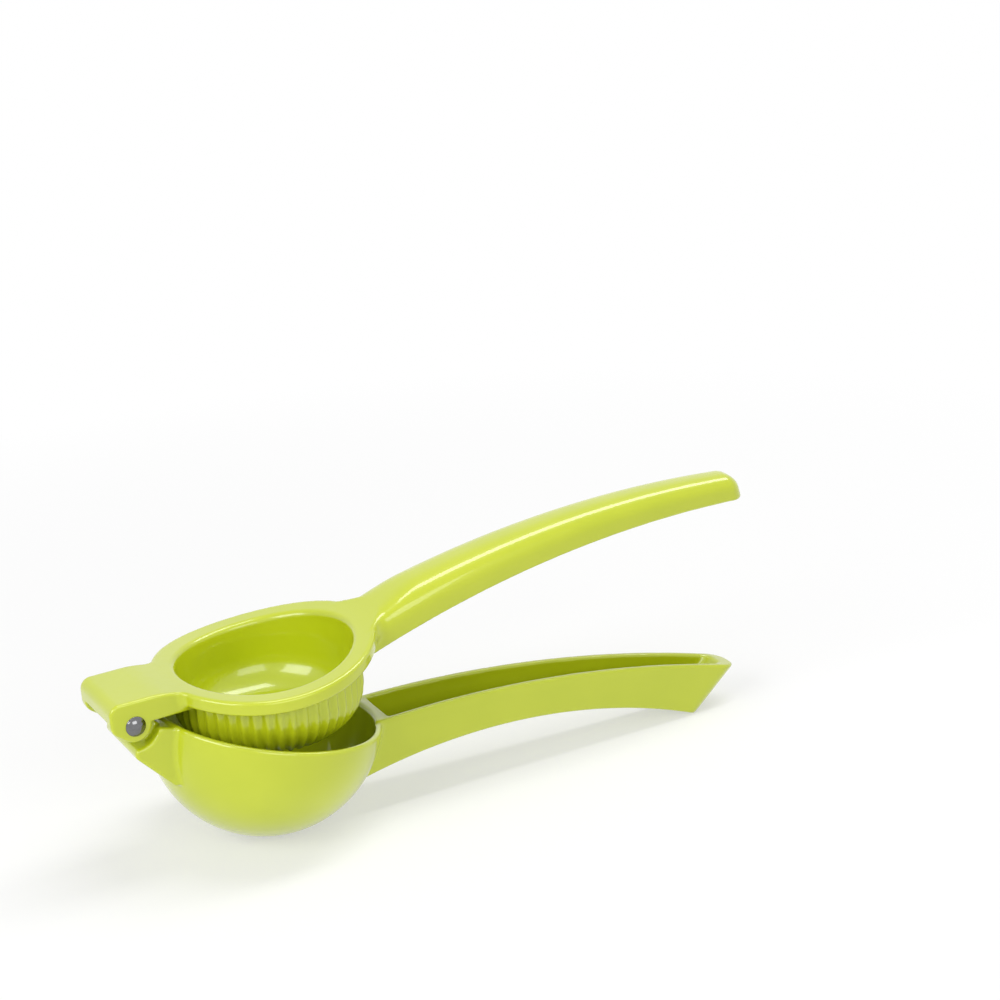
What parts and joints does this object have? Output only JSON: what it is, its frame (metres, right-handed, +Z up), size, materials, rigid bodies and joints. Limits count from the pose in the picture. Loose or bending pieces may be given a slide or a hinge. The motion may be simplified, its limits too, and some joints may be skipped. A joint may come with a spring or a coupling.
{
  "type": "hinged citrus squeezer",
  "caption": "Hand citrus press: a perforated bowl on a channel handle and a fluted press cup on a domed handle, hinged on a steel rivet at the end opposite the handles.",
  "frame": {"origin": "the lowest point of the bowl's round bottom, where it touches the table when the squeezer rests on its bowl and on the tail of the bowl's handle", "axes": "+X along the squeezer in the table's plane, from the bowl towards the handles; +Y across it, parallel to the hinge rivet; +Z up from the table"},
  "size_m": [0.2274, 0.074, 0.0816],
  "materials": {
    "enamel_bowl": "glossy lime green enamel on cast aluminium",
    "enamel_press": "glossy lime green enamel on cast aluminium",
    "rivet_steel": "polished steel"
  },
  "bodies": {
    "bowl": {"bowl_casting": "enamel_bowl"},
    "press": {"press_casting": "enamel_press", "hinge_rivet": "rivet_steel"}
  },
  "joints": [
    {"name": "press_hinge", "type": "hinge", "parent": "bowl", "child": "press", "pos_m": [-0.04584, 0, 0.05144], "axis": [0, -1, 0], "range_deg": [-15.4, 80]}
  ]
}
